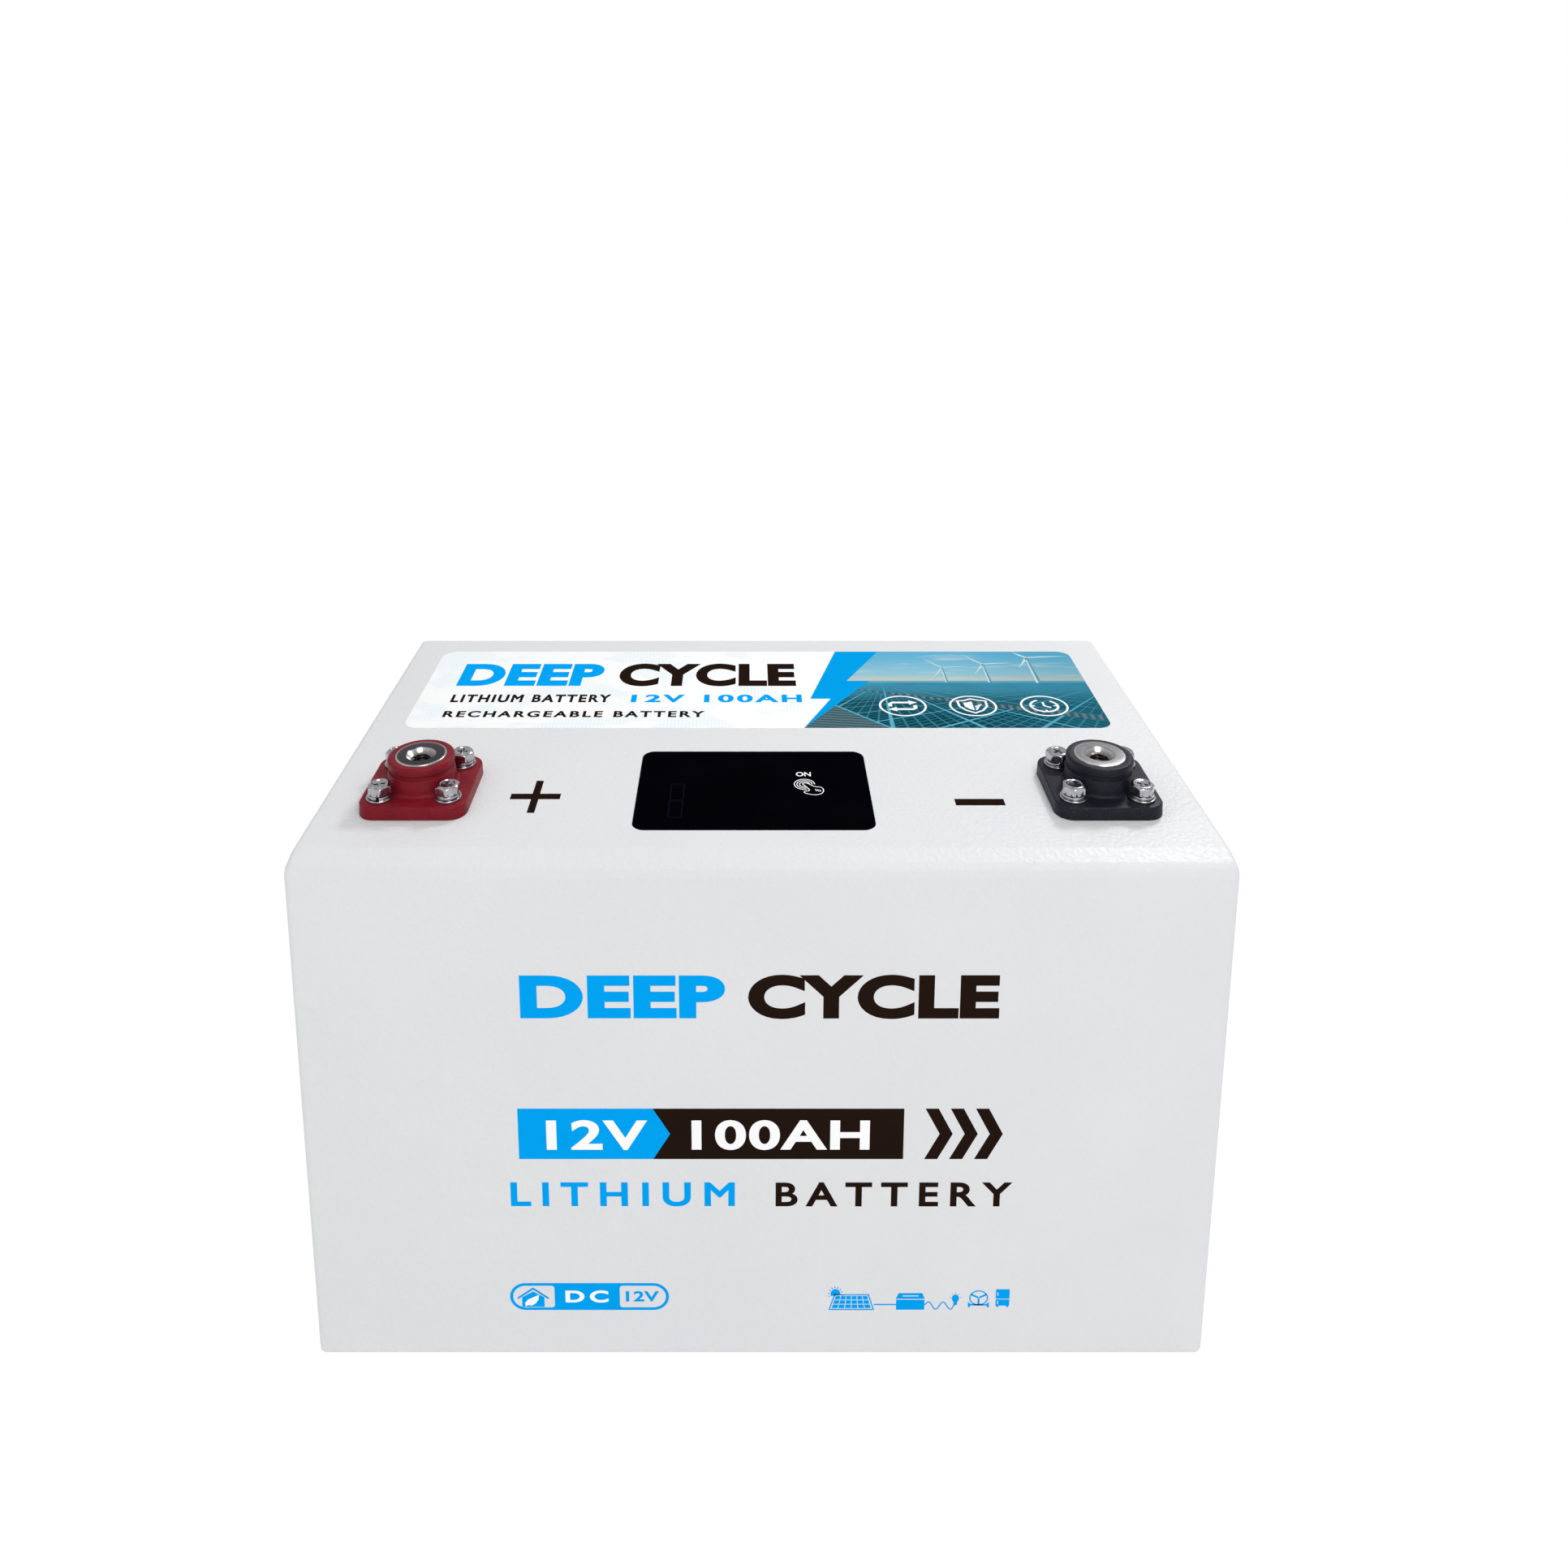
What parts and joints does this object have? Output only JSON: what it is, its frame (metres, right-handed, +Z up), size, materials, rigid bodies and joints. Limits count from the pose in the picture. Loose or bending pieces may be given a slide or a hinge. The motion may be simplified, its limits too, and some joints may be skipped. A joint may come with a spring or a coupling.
{
  "type": "deep cycle battery",
  "caption": "Steel-cased deep cycle battery with threaded terminals, a flush touch display and a printed front, shown with its cells and management board inside.",
  "frame": {"origin": "middle of the underside of the base plate", "axes": "+X along the case towards the negative terminal, -Y the printed front, +Z up"},
  "size_m": [0.33, 0.195, 0.2211],
  "materials": {
    "powder_coat_white": "fine orange-peel powder coat, satin",
    "nylon_red": "moulded nylon, satin",
    "nylon_black": "grainy moulded nylon",
    "nickel_plate": "nickel-plated brass, turned",
    "zinc_screw": "bright zinc-plated steel",
    "steel_band": "cold-rolled steel band",
    "seal_rubber": "black rubber",
    "label_vinyl": "printed vinyl with a satin film",
    "window_black": "gloss black, back-printed",
    "screen_glass": "dark liquid-crystal glass",
    "moulding_black": "fine moulded texture",
    "circuit_board": "green solder mask",
    "chip_black": "moulded epoxy",
    "socket_white": "moulded nylon",
    "cell_sleeve": "shrunk blue film over an aluminium can",
    "aluminium_part": "milled aluminium",
    "tinned_copper": "tinned copper",
    "plated_brass": "machined brass",
    "fibre_board": "pale green glass-fibre board",
    "foam_black": "closed-cell foam",
    "pad_grey": "soft thermal pad",
    "tape_black": "double-sided tape",
    "cable_red": "silicone insulation",
    "cable_black": "silicone insulation",
    "ribbon_grey": "flat cable",
    "ink_blue": "screen-printed ink",
    "ink_dark": "screen-printed ink",
    "ink_white": "screen-printed ink"
  },
  "bodies": {
    "root": {"case_shell": "powder_coat_white", "base_plate": "powder_coat_white", "base_screws": "zinc_screw", "base_clinch_nuts": "zinc_screw", "terminal_screws": "zinc_screw", "terminal_flat_washers": "zinc_screw", "terminal_spring_washers": "zinc_screw", "terminal_gaskets": "seal_rubber", "stud_washers": "zinc_screw", "stud_nuts": "zinc_screw", "top_label": "label_vinyl", "display_window": "window_black", "window_tape": "tape_black", "display_frame": "moulding_black", "display_board": "circuit_board", "lcd_module": "screen_glass", "touch_spring": "tinned_copper", "display_frame_nuts": "zinc_screw", "display_ribbon": "ribbon_grey", "cell_posts": "aluminium_part", "cell_vents": "aluminium_part", "cell_spacers": "foam_black", "end_board_left": "fibre_board", "end_board_right": "fibre_board", "pack_straps": "steel_band", "support_board": "fibre_board", "base_foam_sheet": "foam_black", "front_foam": "foam_black", "back_foam": "foam_black", "left_foam_block": "foam_black", "right_foam_block": "foam_black", "busbars": "tinned_copper", "cell_bolts": "zinc_screw", "sense_tags": "tinned_copper", "sense_wires": "cable_red", "cover_board": "fibre_board", "board_pillars": "moulding_black", "bms_heat_plate": "aluminium_part", "bms_heat_pad": "pad_grey", "bms_mosfets": "chip_black", "bms_board": "circuit_board", "bms_spacers": "plated_brass", "bms_screws": "zinc_screw", "bms_posts": "plated_brass", "bms_post_screws": "zinc_screw", "sense_socket": "socket_white", "cable_lugs": "tinned_copper", "positive_cable": "cable_red", "battery_negative_cable": "cable_black", "load_negative_cable": "cable_black", "positive_terminal_base": "nylon_red", "negative_terminal_base": "nylon_black", "positive_terminal_insert": "nickel_plate", "negative_terminal_insert": "nickel_plate", "positive_backing_plate": "nylon_red", "negative_backing_plate": "nylon_black", "cell_1": "cell_sleeve", "cell_2": "cell_sleeve", "cell_3": "cell_sleeve", "cell_4": "cell_sleeve"}
  },
  "joints": []
}
